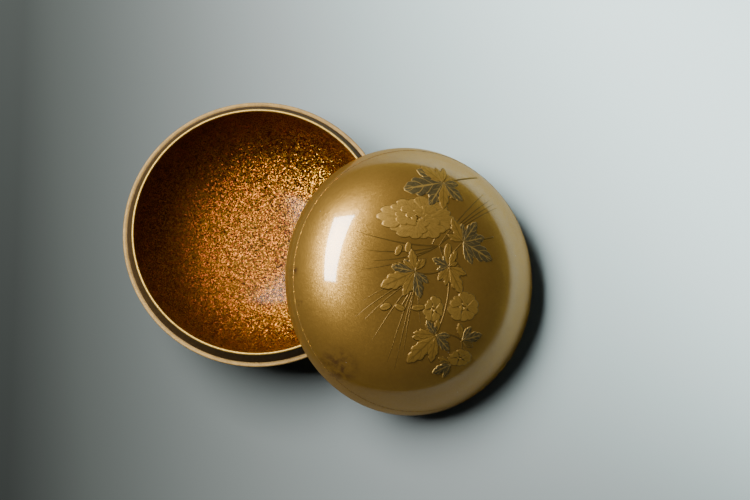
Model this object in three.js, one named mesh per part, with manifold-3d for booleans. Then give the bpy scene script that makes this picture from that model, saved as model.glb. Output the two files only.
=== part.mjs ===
// Round incense box of lacquered wood: an open bowl, and its domed lid lying half off it.
// Millimetres, +Z up. The origin is the centre of the bowl's flat underside, and -Y is the front.
import * as THREE from "three";
import { mergeVertices } from "three/addons/utils/BufferGeometryUtils.js";
import Module from "manifold-3d";

const wasm = await Module();
wasm.setup();

// The round that both halves share
const outerRadius = 38;
const shoulderPower = 3.34; // higher squares the shoulder
const edgeBreak = 0.25; // small bevel on the meeting edges

// The bowl
const seatHeight = 21.9; // underside to the flat seat that the lid closes on
const footRadius = 22;
const footPower = 1.56; // higher flattens the bowl's underside
const floorThickness = 3;
const seatWidth = 1.3;
const flangeHeight = 3.4; // seat to the top of the lip
const flangeTaper = 1.55; // how far the flange's outside leans in on its way up
const lipWidth = 0.6;

// The lid
const lidHeight = 17.6;
const crownPower = 1.48; // higher flattens the crown
const lidWall = 2.2;
const skirtClearance = 0.2; // around the flange's foot when the box is shut
const flangeHeadroom = 0.3; // above the lip when the box is shut

// Where the lid lies: its low edge on the table, its raised side across the flange
const lidSetOff = 44.9; // between the two centres, seen from above
const lidBearing = THREE.MathUtils.degToRad(-16.4);
const restingGap = 0.3;

// The raised spray on the crown
const petalLift = 0.25;
const ringLift = 0.06; // how much higher each inner ring of petals stands
const leafLift = 0.22;
const stemLift = 0.18;
const stemWidth = 0.55;
const bladeWidth = 0.42;
const reliefRoot = 0.5; // how deep each figure is let into the dome

// Shares of each figure's own size
const rootSpread = 1.08; // its buried outline
const topSpread = 0.82; // its flat top
const petalOverlap = 1.1; // a petal's spread over its place in the ring
const scallopNotch = 0.88;
const stemTip = 0.7;
const bladeTip = 0.25;

// Fineness of the faceted surfaces
const turns = 56;
const domeSteps = 12;
const hollowSteps = 7;
const lipSteps = 4;

const flangeFootRadius = outerRadius - seatWidth;
const lipOuterRadius = flangeFootRadius - flangeTaper;
const mouthRadius = lipOuterRadius - lipWidth;
const lipHeight = seatHeight + flangeHeight;
const skirtRadius = flangeFootRadius + skirtClearance;
const skirtHeight = flangeHeight + flangeHeadroom;

// Height of the lid's dome above its rim at a distance from its axis.
function domeHeight(reach) {
  const share = Math.min(1, (reach / outerRadius) ** shoulderPower);
  return lidHeight * (1 - share) ** (1 / crownPower);
}

// Points of a quarter round from one height to another, measured from its rim.
function quarterRound(radius, height, power, steps, from = 0, to = height) {
  const angleAt = (rise) => Math.asin((rise / height) ** (power / 2));
  const points = [];
  for (let i = 0; i <= steps; i++) {
    const angle = THREE.MathUtils.lerp(angleAt(from), angleAt(to), i / steps);
    const reach = to === height && i === steps ? 0 : radius * Math.cos(angle) ** (2 / shoulderPower);
    points.push(new THREE.Vector2(reach, height * Math.sin(angle) ** (2 / power)));
  }
  return points;
}

// A closed geometry as a solid, with its repeated vertices merged.
function toSolid(geometry) {
  const bare = geometry.clone();
  bare.deleteAttribute("normal");
  bare.deleteAttribute("uv");
  const merged = mergeVertices(bare, 1e-4);
  return new wasm.Manifold(
    new wasm.Mesh({
      numProp: 3,
      vertProperties: new Float32Array(merged.getAttribute("position").array),
      triVerts: new Uint32Array(merged.index.array),
    }),
  );
}

function toGeometry(solid) {
  const mesh = solid.getMesh();
  const geometry = new THREE.BufferGeometry();
  geometry.setAttribute("position", new THREE.BufferAttribute(mesh.vertProperties, 3));
  geometry.setIndex(new THREE.BufferAttribute(mesh.triVerts, 1));
  geometry.computeVertexNormals();
  return geometry;
}

// A profile of (distance from the axis, height) turned round the vertical axis.
function turned(profile) {
  return new THREE.LatheGeometry(profile, turns).rotateX(Math.PI / 2);
}

// The bowl, from the middle of the underside round the outside, over the flange and down inside.
function bowlGeometry() {
  const footShare = (footRadius / outerRadius) ** shoulderPower;
  const fullDepth = seatHeight / (1 - footShare) ** (1 / footPower);
  const outside = quarterRound(outerRadius, fullDepth, footPower, hollowSteps, edgeBreak, seatHeight)
    .map((point) => new THREE.Vector2(point.x, seatHeight - point.y))
    .reverse();
  outside[0].y = 0;
  const lip = [];
  for (let i = 0; i <= lipSteps; i++) {
    const angle = (Math.PI * i) / lipSteps;
    const across = (lipWidth / 2) * Math.cos(angle);
    const up = (lipWidth / 2) * (Math.sin(angle) - 1);
    lip.push(new THREE.Vector2(mouthRadius + lipWidth / 2 + across, lipHeight + up));
  }
  const insideDepth = seatHeight - floorThickness;
  const inside = quarterRound(mouthRadius, insideDepth, footPower, hollowSteps).map(
    (point) => new THREE.Vector2(point.x, seatHeight - point.y),
  );
  return turned([
    new THREE.Vector2(0, 0),
    ...outside,
    new THREE.Vector2(outerRadius - edgeBreak, seatHeight),
    new THREE.Vector2(flangeFootRadius, seatHeight),
    ...lip,
    ...inside,
  ]);
}

// The lid's closed profile, from the middle of its hollow down the skirt, round the rim and up the dome.
function lidProfile() {
  const ceiling = lidHeight - lidWall;
  const hollow = quarterRound(outerRadius - lidWall, ceiling, crownPower, hollowSteps, skirtHeight).reverse();
  const dome = quarterRound(outerRadius, lidHeight, crownPower, domeSteps, edgeBreak);
  return [
    ...hollow,
    new THREE.Vector2(skirtRadius, skirtHeight),
    new THREE.Vector2(skirtRadius, 0),
    new THREE.Vector2(outerRadius - edgeBreak, 0),
    ...dome,
  ];
}

// A point on the lid's dome above (x, y), moved out from the surface by a lift.
function onDome(x, y, lift) {
  const reach = Math.hypot(x, y);
  const probe = 0.01;
  const fall = (domeHeight(reach) - domeHeight(reach + probe)) / probe;
  const radial = reach > 0 ? new THREE.Vector3(x / reach, y / reach, 0) : new THREE.Vector3();
  const outward = radial.multiplyScalar(fall).add(new THREE.Vector3(0, 0, 1)).normalize();
  return new THREE.Vector3(x, y, domeHeight(reach)).addScaledVector(outward, lift);
}

// A low cushion with a given outline on the dome: flat in its middle, sloping out to its edge.
function cushion(outline, middle, lift) {
  const section = [
    new THREE.Vector2(0, -reliefRoot),
    new THREE.Vector2(rootSpread, -reliefRoot),
    new THREE.Vector2(topSpread, lift),
    new THREE.Vector2(0, lift),
  ];
  const geometry = new THREE.LatheGeometry(section, outline.length);
  const position = geometry.getAttribute("position");
  for (let column = 0; column <= outline.length; column++) {
    const edge = outline[column % outline.length];
    section.forEach((level, row) => {
      const flat = middle.clone().lerp(edge, level.x);
      const point = onDome(flat.x, flat.y, level.y);
      position.setXYZ(column * section.length + row, point.x, point.y, point.z);
    });
  }
  return toSolid(geometry);
}

// A tapering ridge along a curve on the dome, with three sides and its edge upward.
function ridge(curve, width, lift, tipShare, steps = 3) {
  const geometry = new THREE.CylinderGeometry(1, 1, 1, 3, steps);
  const position = geometry.getAttribute("position");
  const rod = new THREE.Vector3();
  for (let i = 0; i < position.count; i++) {
    rod.fromBufferAttribute(position, i);
    const along = THREE.MathUtils.clamp(rod.y + 0.5, 0, 1);
    const size = THREE.MathUtils.lerp(1, tipShare, along);
    const place = curve.getPoint(along);
    const heading = curve.getTangent(along);
    const aside = (Math.round(rod.x) * width * size) / 2;
    const rise = rod.z > 0.5 ? lift * size : -reliefRoot;
    const point = onDome(place.x + heading.y * aside, place.y - heading.x * aside, rise);
    position.setXYZ(i, point.x, point.y, point.z);
  }
  return toSolid(geometry);
}

// A leaf of pointed lobes that fan out from its stalk, the middle lobe the longest.
function leaf(node, bearing, length, lobes) {
  const fanStep = 40;
  const shortening = 0.26;
  const lobeSides = [
    [-17, 0.66],
    [0, 1],
    [17, 0.66],
  ];
  const notch = 0.42;
  const middle = 0.14;
  const towards = (degrees, share) =>
    new THREE.Vector2(share * length, 0)
      .rotateAround(new THREE.Vector2(), THREE.MathUtils.degToRad(bearing + degrees))
      .add(node);
  const outline = [node.clone()];
  for (let i = 0; i < lobes; i++) {
    const offset = i - (lobes - 1) / 2;
    if (i > 0) outline.push(towards((offset - 0.5) * fanStep, notch));
    lobeSides.forEach(([turn, share]) =>
      outline.push(towards(offset * fanStep + turn, share * (1 - shortening * Math.abs(offset)))),
    );
  }
  return cushion(outline, towards(0, middle), leafLift);
}

// One scalloped petal of a blossom, in the blossom's own flattened round.
function petal(blossom, bearing, spread, inner, outer, scallops, lift) {
  const toPlan = (angle, reach) =>
    new THREE.Vector2(
      blossom.x + Math.cos(angle) * reach * blossom.halfWidth,
      blossom.y + Math.sin(angle) * reach * blossom.halfHeight,
    );
  const outline = [toPlan(bearing, inner)];
  const edgeSteps = scallops * 2;
  for (let i = 0; i <= edgeSteps; i++) {
    const angle = bearing + spread * (i / edgeSteps - 0.5);
    outline.push(toPlan(angle, i % 2 === 0 ? outer * scallopNotch : outer));
  }
  return cushion(outline, toPlan(bearing, (inner + outer) / 2), lift);
}

// A blossom is rings of petals that step up towards a small round heart.
function blossomSolids(blossom) {
  const solids = [];
  blossom.rings.forEach((ring, level) => {
    for (let i = 0; i < ring.petals; i++) {
      const bearing = (2 * Math.PI * (i + level / 2)) / ring.petals;
      const spread = (2 * Math.PI * petalOverlap) / ring.petals;
      const lift = petalLift + ringLift * level;
      solids.push(petal(blossom, bearing, spread, ring.inner, ring.outer, ring.scallops, lift));
    }
  });
  return solids;
}

// An oval bud with its long axis towards a bearing in degrees.
function bud(x, y, bearing, length, width) {
  const outline = [];
  const sides = 8;
  const turn = THREE.MathUtils.degToRad(bearing);
  for (let i = 0; i < sides; i++) {
    const angle = (2 * Math.PI * i) / sides;
    outline.push(
      new THREE.Vector2(x + (Math.cos(angle) * length) / 2, y + (Math.sin(angle) * width) / 2).rotateAround(
        new THREE.Vector2(x, y),
        turn,
      ),
    );
  }
  return cushion(outline, new THREE.Vector2(x, y), petalLift);
}

// The spray in the lid's own plan, x to the right and y to the back when the lid stands level.
const peony = {
  x: -5.4,
  y: 16.4,
  halfWidth: 12,
  halfHeight: 6.6,
  rings: [
    { petals: 7, inner: 0.25, outer: 1, scallops: 3 },
    { petals: 5, inner: 0.1, outer: 0.66, scallops: 2 },
    { petals: 3, inner: 0, outer: 0.34, scallops: 1 },
  ],
};

const smallRings = [{ petals: 5, inner: 0, outer: 1, scallops: 2 }];

const smallBlossoms = [
  { x: -0.6, y: -8.6, halfWidth: 3.4, halfHeight: 4, rings: smallRings },
  { x: 8.6, y: -7.6, halfWidth: 5.4, halfHeight: 4.6, rings: smallRings },
  { x: 8.8, y: -21.6, halfWidth: 4.4, halfHeight: 2.6, rings: smallRings },
];

// Each sprig is a node on a stem, with leaves as [bearing, length, lobes].
const sprigs = [
  { x: 3.2, y: 27, leaves: [[192, 12.5, 3], [127, 6.8, 1], [50, 5.4, 1], [258, 7, 3], [326, 6.4, 1]] },
  { x: 8, y: 10.4, leaves: [[344, 10.5, 3], [48, 7.6, 3], [128, 7, 3]] },
  { x: -6.6, y: 1.6, leaves: [[172, 7, 3], [84, 5.6, 3], [284, 7, 3], [206, 11, 3]] },
  { x: 3.6, y: 3.4, leaves: [[172, 5, 3], [305, 8, 3]] },
  { x: 0.4, y: -15.6, leaves: [[128, 4.4, 1], [178, 6.8, 3], [224, 11, 3], [334, 5.6, 3]] },
  { x: 8.6, y: -16.8, leaves: [[24, 6.4, 3], [100, 4.4, 1]] },
  { x: 6.2, y: -23.4, leaves: [[204, 5, 3]] },
];

// Buds as [x, y, bearing, length, width].
const buds = [
  [-11.4, 7.2, 62, 3.6, 1.9],
  [-8.6, 8.1, 78, 3.4, 2],
  [3.3, 7.7, 82, 4.6, 2.4],
  [-14.7, -8.4, 20, 3.4, 2.2],
  [-10.6, -8.5, 160, 3.2, 2],
  [-5.2, -8.3, 10, 4.2, 2],
];

// Stems and blades as [start, bend, end] in plan.
const stems = [
  [[17, 30], [6, 28], [3.2, 27]],
  [[3.2, 27], [3.5, 19], [-1.6, 9]],
  [[8, 10.4], [3, 6], [3.6, 3.4]],
  [[18.4, 12.6], [12, 11], [8, 10.4]],
  [[3.6, 3.4], [-2, 0], [-6.6, 1.6]],
  [[3.6, 3.4], [4.8, -6], [0.4, -15.6]],
  [[0.4, -15.6], [5, -14.6], [8.6, -16.8]],
  [[8.6, -16.8], [9.2, -19], [8.8, -21.6]],
  [[-10.6, -8.5], [-6.5, -3], [-6.6, 1.6]],
];

// Every blade springs from one of two tufts and bows once on its way to its tip.
const tufts = [
  { x: 0.6, y: 9, bow: 0.1, tips: [[19.4, 23.6], [21.6, 21.4], [-24, 12.4], [-21.6, 7]] },
  { x: -5.2, y: 0.4, bow: -0.09, tips: [[-23, -11.8], [-18, -18.6], [-12.6, -23.8], [-10.2, -26.2]] },
];

function plannedCurve(points) {
  return new THREE.QuadraticBezierCurve(...points.map(([x, y]) => new THREE.Vector2(x, y)));
}

function tuftBlades(tuft) {
  return tuft.tips.map(([x, y]) => {
    const middle = [(tuft.x + x) / 2 - (y - tuft.y) * tuft.bow, (tuft.y + y) / 2 + (x - tuft.x) * tuft.bow];
    return ridge(plannedCurve([[tuft.x, tuft.y], middle, [x, y]]), bladeWidth, stemLift, bladeTip);
  });
}

function sprayFigures() {
  return [
    ...blossomSolids(peony),
    ...smallBlossoms.flatMap(blossomSolids),
    ...sprigs.flatMap(({ x, y, leaves }) =>
      leaves.map(([bearing, length, lobes]) => leaf(new THREE.Vector2(x, y), bearing, length, lobes)),
    ),
    ...buds.map((place) => bud(...place)),
    ...stems.map((points) => ridge(plannedCurve(points), stemWidth, stemLift, stemTip)),
    ...tufts.flatMap(tuftBlades),
  ];
}

function lidGeometry() {
  const shell = toSolid(turned(lidProfile()));
  return toGeometry(sprayFigures().reduce((lid, figure) => lid.add(figure), shell));
}

const leanAxis = new THREE.Vector3(-Math.sin(lidBearing), Math.cos(lidBearing), 0);

// Where the centre of the lid's rim lies when the lid leans and its lowest point touches the table.
function lidPlace(lean) {
  const lowest = lidProfile().reduce(
    (deepest, point) => Math.max(deepest, point.x * Math.sin(lean) - point.y * Math.cos(lean)),
    0,
  );
  return new THREE.Vector3(lidSetOff * Math.cos(lidBearing), lidSetOff * Math.sin(lidBearing), lowest);
}

// The least height of the rim's inner edge over the lip, where the two cross in plan.
function heightOverLip(lean) {
  const centre = lidPlace(lean);
  const samples = 2000;
  let clearance = Infinity;
  let wasInside = null;
  for (let i = 0; i <= samples; i++) {
    const angle = (2 * Math.PI * i) / samples;
    const point = new THREE.Vector3(skirtRadius * Math.cos(angle), skirtRadius * Math.sin(angle), 0)
      .applyAxisAngle(leanAxis, lean)
      .add(centre);
    const isInside = Math.hypot(point.x, point.y) < lipOuterRadius;
    if (wasInside !== null && isInside !== wasInside) {
      clearance = Math.min(clearance, point.z - lipHeight);
    }
    wasInside = isInside;
  }
  return clearance;
}

// The lean at which the rim clears the lip by the resting gap.
function restingLean() {
  const halvings = 40;
  let low = 0;
  let high = Math.PI / 3;
  for (let i = 0; i < halvings; i++) {
    const lean = (low + high) / 2;
    if (heightOverLip(lean) < restingGap) low = lean;
    else high = lean;
  }
  return high;
}

const sprinkledGold = new THREE.MeshStandardMaterial({ color: 0x9a6a34, roughness: 0.35, metalness: 0.6 });
const goldLacquer = new THREE.MeshStandardMaterial({ color: 0xa07a3a, roughness: 0.3, metalness: 0.9 });

const box = new THREE.Mesh(bowlGeometry(), sprinkledGold);
box.name = "box";

const lid = new THREE.Mesh(lidGeometry(), goldLacquer);
lid.name = "lid";

const lean = restingLean();
const leaningLid = new THREE.Group();
leaningLid.position.copy(lidPlace(lean));
leaningLid.quaternion.setFromAxisAngle(leanAxis, lean);
leaningLid.add(lid);

const incenseBox = new THREE.Group();
incenseBox.add(box, leaningLid);

export default incenseBox;
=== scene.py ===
# %% [markdown]
# # A round incense box in gold lacquer, lying open
#
# The object is two turned pieces of thin wood under many coats of lacquer: an open bowl and a domed
# lid that leans on it. Its whole character is in its surfaces. There is fine gold powder under
# polished clear lacquer outside, coarse gold flake sunk in red-brown lacquer inside, and a flower
# spray built up in low relief on the lid.
#
# The script loads the solid model first, as a fixed frame that says where each piece lies. Then it
# builds finer meshes in the same places, gives them their finishes, and lights them.

# %% Load the solid model
import math

import bpy
import numpy as np
from mathutils import Matrix, Vector


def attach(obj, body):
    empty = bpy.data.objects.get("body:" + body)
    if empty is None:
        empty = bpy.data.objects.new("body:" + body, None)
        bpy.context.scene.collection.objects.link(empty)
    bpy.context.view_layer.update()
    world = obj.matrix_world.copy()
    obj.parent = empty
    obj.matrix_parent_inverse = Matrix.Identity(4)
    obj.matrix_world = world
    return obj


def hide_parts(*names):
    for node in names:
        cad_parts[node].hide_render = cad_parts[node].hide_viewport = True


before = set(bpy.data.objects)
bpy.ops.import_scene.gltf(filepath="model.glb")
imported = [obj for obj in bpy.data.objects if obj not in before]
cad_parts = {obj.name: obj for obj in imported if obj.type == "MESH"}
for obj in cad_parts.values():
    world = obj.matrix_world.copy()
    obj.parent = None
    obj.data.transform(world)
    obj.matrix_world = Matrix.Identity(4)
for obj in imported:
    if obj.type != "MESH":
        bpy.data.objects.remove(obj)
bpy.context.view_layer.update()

# %% [markdown]
# ## Sizes
#
# All sizes are in millimetres, as a turner would note them, and become metres only when a mesh is
# made. Both halves share one kind of section: a curve that is nearly straight at the rim, squares
# over a shoulder and flattens towards the middle. A superellipse gives that with two powers, and a
# circle or an ellipse would be too pointed or too round. The lid's crown is a little rounder than the
# bowl's foot, so it has its own power.

# %% Sizes of the two halves
MM = 0.001
OUTER_RADIUS = 38.0
SHOULDER_POWER = 3.34
FOOT_POWER = 1.56
EDGE_ROUND = 0.25

SEAT_HEIGHT = 21.9
FOOT_RADIUS = 22.0
FLOOR_THICKNESS = 3.0
SEAT_WIDTH = 1.3
FLANGE_HEIGHT = 3.4
FLANGE_TAPER = 1.55
LIP_WIDTH = 0.6

LID_HEIGHT = 17.6
CROWN_POWER = 1.48
LID_WALL = 2.2
SKIRT_CLEARANCE = 0.2
FLANGE_HEADROOM = 0.3

FLANGE_FOOT_RADIUS = OUTER_RADIUS - SEAT_WIDTH
LIP_OUTER_RADIUS = FLANGE_FOOT_RADIUS - FLANGE_TAPER
MOUTH_RADIUS = LIP_OUTER_RADIUS - LIP_WIDTH
LIP_HEIGHT = SEAT_HEIGHT + FLANGE_HEIGHT


def dome_height(reach):
    """Height of the lid's dome above its rim, at a distance from its axis."""
    share = np.minimum(1.0, (np.asarray(reach, float) / OUTER_RADIUS) ** SHOULDER_POWER)
    return LID_HEIGHT * (1 - share) ** (1 / CROWN_POWER)


def quarter_round(radius, height, power, steps, start=0.0, stop=None):
    """Points (reach, height) of a rounded section from one height to another."""
    stop = height if stop is None else stop
    first = math.asin((start / height) ** (power / 2))
    last = math.asin((stop / height) ** (power / 2))
    angles = np.linspace(first, last, steps + 1)
    reach = radius * np.maximum(np.cos(angles), 0) ** (2 / SHOULDER_POWER)
    return [(float(r), float(height * math.sin(a) ** (2 / power))) for r, a in zip(reach, angles)]


# %% [markdown]
# ## Where the lid lies
#
# The lid leans on the bowl's flange, with its low edge on the table. Its place could be worked out
# again from the sizes, but the solid model already holds it, so it is read there: the largest flat
# area of the lid's mesh is its rim, and the rim's normal and centre give the lean.

# %% Read the lean from the rim
SAME_WAY = 0.99999
SAME_LEVEL = 0.05


def rim_of(node):
    """Centre (millimetres) and axis of a node's rim, the outermost part of its largest flat area."""
    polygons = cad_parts[node].data.polygons
    normals = np.array([p.normal for p in polygons])
    areas = np.array([p.area for p in polygons])
    centres = np.array([p.center for p in polygons]) / MM
    kind_of = np.unique(np.round(normals, 2), axis=0, return_inverse=True)[1].reshape(-1)
    in_kind = kind_of == np.bincount(kind_of, areas).argmax()
    facing = normals[np.where(in_kind, areas, 0).argmax()]
    level = centres @ facing
    flat = normals @ facing > SAME_WAY
    on_rim = flat & (level > level[flat].max() - SAME_LEVEL)
    weights = areas[on_rim] / areas[on_rim].sum()
    axis = -(normals[on_rim] * weights[:, None]).sum(0)
    return (centres[on_rim] * weights[:, None]).sum(0), axis / np.linalg.norm(axis)


lid_centre, lid_axis = rim_of("lid")
lid_turn = Vector((0, 0, 1)).rotation_difference(Vector(lid_axis))
lid_matrix = np.array(lid_turn.to_matrix())


def lid_to_world(points):
    """Points in the lid's own plan, in millimetres, as world points in metres."""
    return (np.asarray(points) @ lid_matrix.T + lid_centre) * MM


print("lid leans %.2f degrees, rim centre %s mm" % (math.degrees(lid_turn.angle), np.round(lid_centre, 2)))

# %% [markdown]
# ## Turning a profile
#
# Both halves are turned on a lathe, so both meshes are a profile swept round an axis. Blender's Screw
# modifier would do it, but building the rings directly keeps the middle closed by one fan, and lets
# every stretch of the profile carry its own finish. A stretch is a name and a list of points.

# %% Turn a named profile into a mesh
TURNS = 288


def turned(name, stretches, to_world):
    """A closed mesh from stretches [(finish, [(reach, height), ...])], first and last point on the axis."""
    points, finish_of_span = [stretches[0][1][0]], []
    for finish, stretch in stretches:
        for point in stretch:
            if math.dist(point, points[-1]) > 1e-6:
                points.append(point)
                finish_of_span.append(finish)
    rings = np.array(points[1:-1])
    angles = np.arange(TURNS) * 2 * math.pi / TURNS
    ring_points = np.stack(
        [
            rings[:, None, 0] * np.cos(angles),
            rings[:, None, 0] * np.sin(angles),
            np.repeat(rings[:, 1:], TURNS, axis=1),
        ],
        axis=-1,
    ).reshape(-1, 3)
    poles = np.array([(0, 0, points[0][1]), (0, 0, points[-1][1])])
    vertices = to_world(np.vstack([ring_points, poles]))
    first_pole, last_pole = len(ring_points), len(ring_points) + 1
    here = np.arange(TURNS)
    there = (here + 1) % TURNS
    faces = [(first_pole, b, a) for a, b in zip(here.tolist(), there.tolist())]
    for k in range(len(rings) - 1):
        low, high = k * TURNS, (k + 1) * TURNS
        quads = np.stack([low + here, low + there, high + there, high + here], axis=1)
        faces += quads.tolist()
    top = (len(rings) - 1) * TURNS
    faces += [(last_pole, top + a, top + b) for a, b in zip(here.tolist(), there.tolist())]
    mesh = bpy.data.meshes.new(name)
    mesh.from_pydata(vertices.tolist(), [], faces)
    finishes = list(dict.fromkeys(finish_of_span))
    mesh.polygons.foreach_set(
        "material_index", np.repeat([finishes.index(f) for f in finish_of_span], TURNS).astype(np.int32)
    )
    mesh.shade_smooth()
    piece = bpy.data.objects.new(name, mesh)
    bpy.context.scene.collection.objects.link(piece)
    print(name, "is closed by", len(mesh.polygons), "faces, finishes", finishes)
    return piece, finishes


# %% [markdown]
# ## The bowl
#
# The bowl's section runs from the middle of the flat foot, up the rounded outside, over the flat seat
# that the lid closes on, up the flange that keeps the lid in place, and down inside. The flange leans
# in so that the lid finds its place. Its lip is a small bead of bright gold, and a fine groove runs
# round its foot, where dirt and old lacquer gather.

# %% Parts of a section
STEPS = dict(edge=6, lip=14, flange=10, wall=5, outside=44, inside=70, hollow=50, dome=110)


def arc(centre, radius, start, stop, steps):
    """Points of a circular arc, with its angles in degrees."""
    angles = np.radians(np.linspace(start, stop, steps + 1))
    return [(centre[0] + radius * math.cos(a), centre[1] + radius * math.sin(a)) for a in angles]


def straight_to(start, stop, steps):
    """Points of a straight stretch, after its first."""
    return np.linspace(start, stop, steps + 1)[1:].tolist()


def below_seat(section):
    """A rounded section turned upside down, so that it hangs from the seat's level."""
    return [(reach, SEAT_HEIGHT - depth) for reach, depth in section]


# %% The bowl's section
FOOT_ROUND = 0.6
GROOVE_WIDTH = 0.16
GROOVE_MIDDLE = 0.064
GROOVE_DEPTH = 0.112
GROOVE_UNDERCUT = 0.02
GROOVE_TOP = 0.05
LIP_OVERHANG = 0.07
LIP_NECK = 0.15
LIP_BEAD_START = -40
LIP_GOLD_INSIDE = 0.55

foot_share = (FOOT_RADIUS / OUTER_RADIUS) ** SHOULDER_POWER
full_depth = SEAT_HEIGHT / (1 - foot_share) ** (1 / FOOT_POWER)
foot_depth = SEAT_HEIGHT - FOOT_ROUND / 2
floor_depth = SEAT_HEIGHT - FLOOR_THICKNESS
outside = below_seat(
    quarter_round(OUTER_RADIUS, full_depth, FOOT_POWER, STEPS["outside"], EDGE_ROUND, foot_depth)
)
inside = below_seat(quarter_round(MOUTH_RADIUS, floor_depth, FOOT_POWER, STEPS["inside"]))
edge_centre = (OUTER_RADIUS - EDGE_ROUND, SEAT_HEIGHT - EDGE_ROUND)
seat_edge = arc(edge_centre, EDGE_ROUND, 0, 90, STEPS["edge"])
lip_radius = LIP_WIDTH / 2
lip_centre = (MOUTH_RADIUS + lip_radius, LIP_HEIGHT - lip_radius)
lip_bead = arc(lip_centre, lip_radius + LIP_OVERHANG / 2, LIP_BEAD_START, 180, STEPS["lip"])
groove_bottom = (FLANGE_FOOT_RADIUS + GROOVE_MIDDLE, SEAT_HEIGHT - GROOVE_DEPTH)
groove_top = (FLANGE_FOOT_RADIUS - GROOVE_UNDERCUT, SEAT_HEIGHT + GROOVE_TOP)
flange_top = (LIP_OUTER_RADIUS, lip_centre[1] - LIP_NECK)
wall_top = (MOUTH_RADIUS, lip_centre[1] - LIP_GOLD_INSIDE)

bowl_stretches = [
    ("gold", [(0, 0), (FOOT_RADIUS / 2, 0), (FOOT_RADIUS - FOOT_ROUND, 0), *outside[::-1]]),
    ("seat", [*seat_edge, (FLANGE_FOOT_RADIUS + GROOVE_WIDTH, SEAT_HEIGHT)]),
    ("flange", [groove_bottom, groove_top, *straight_to(groove_top, flange_top, STEPS["flange"])]),
    ("lip", [*lip_bead, wall_top]),
    ("flake", [*straight_to(wall_top, (MOUTH_RADIUS, SEAT_HEIGHT), STEPS["wall"]), *inside]),
]
bowl_stretches = [(finish, [(float(x), float(z)) for x, z in stretch]) for finish, stretch in bowl_stretches]
bowl, bowl_finishes = turned("bowl_lacquer", bowl_stretches, lambda points: points * MM)

# %% [markdown]
# ## The lid
#
# The lid has the same section turned the other way up, with a straight skirt inside that slips over
# the flange and a small shoulder above it. Its hollow is finished in flake like the bowl's. The
# shoulder's corner stands 0.07 mm outside the dome, all round. That is a fault of these sizes, found
# too late to mend here, and it lies where a fine line shows. A skirt that leans in with the flange
# would leave a sound wall.

# %% The lid's section
skirt_radius = FLANGE_FOOT_RADIUS + SKIRT_CLEARANCE
skirt_height = FLANGE_HEIGHT + FLANGE_HEADROOM
ceiling = LID_HEIGHT - LID_WALL
hollow = quarter_round(OUTER_RADIUS - LID_WALL, ceiling, CROWN_POWER, STEPS["hollow"], skirt_height)[::-1]
rim_edge = arc((OUTER_RADIUS - EDGE_ROUND, EDGE_ROUND), EDGE_ROUND, -90, 0, STEPS["edge"])
dome = quarter_round(OUTER_RADIUS, LID_HEIGHT, CROWN_POWER, STEPS["dome"], EDGE_ROUND)
hollow[0] = (0.0, ceiling)
dome[-1] = (0.0, LID_HEIGHT)
lid_stretches = [
    ("flake", [*hollow, (skirt_radius, skirt_height)]),
    ("seat", [(skirt_radius, skirt_height / 2), (skirt_radius, 0.0)]),
    ("gold", [*rim_edge, *dome]),
]
lid, lid_finishes = turned("lid_lacquer", lid_stretches, lid_to_world)

# %% [markdown]
# ## Relief figures on a dome
#
# The spray is modelled in charcoal and lacquer, then dusted with powder, so each figure is a soft
# cushion with a rolled edge, about a third of a millimetre high at most. Displacing the lid needs
# millions of faces to keep such edges crisp. Each petal, leaf and stem is a small grid of its own
# instead, laid on the dome with its border sunk in it, and closed below. Every vertex stores how far
# it lies inside its figure, so that the finishes can put a band round it: a gold edge on the dark
# leaves, and on raised gold a dark one that is partly a drawn line and partly painted shade where
# the figure meets the ground.

# %% Lay points on the dome
BURIED = 0.12


def on_dome(x, y, lift):
    """Points of the dome above plan points, moved out from the surface by a lift."""
    probe = 0.01
    reach = np.maximum(np.hypot(x, y), 1e-6)
    height = dome_height(reach)
    fall = (height - dome_height(reach + probe)) / probe
    outward = np.stack([x / reach * fall, y / reach * fall, np.ones_like(x)], axis=-1)
    outward /= np.linalg.norm(outward, axis=-1, keepdims=True)
    return np.stack([x, y, height], axis=-1) + outward * lift[..., None]


def rolled(distance, width):
    """Rise of a rolled edge from 0 at its foot to 1 at a width from it."""
    share = np.clip(distance / width, 0, 1)
    return np.sin(share * math.pi / 2)


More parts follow.
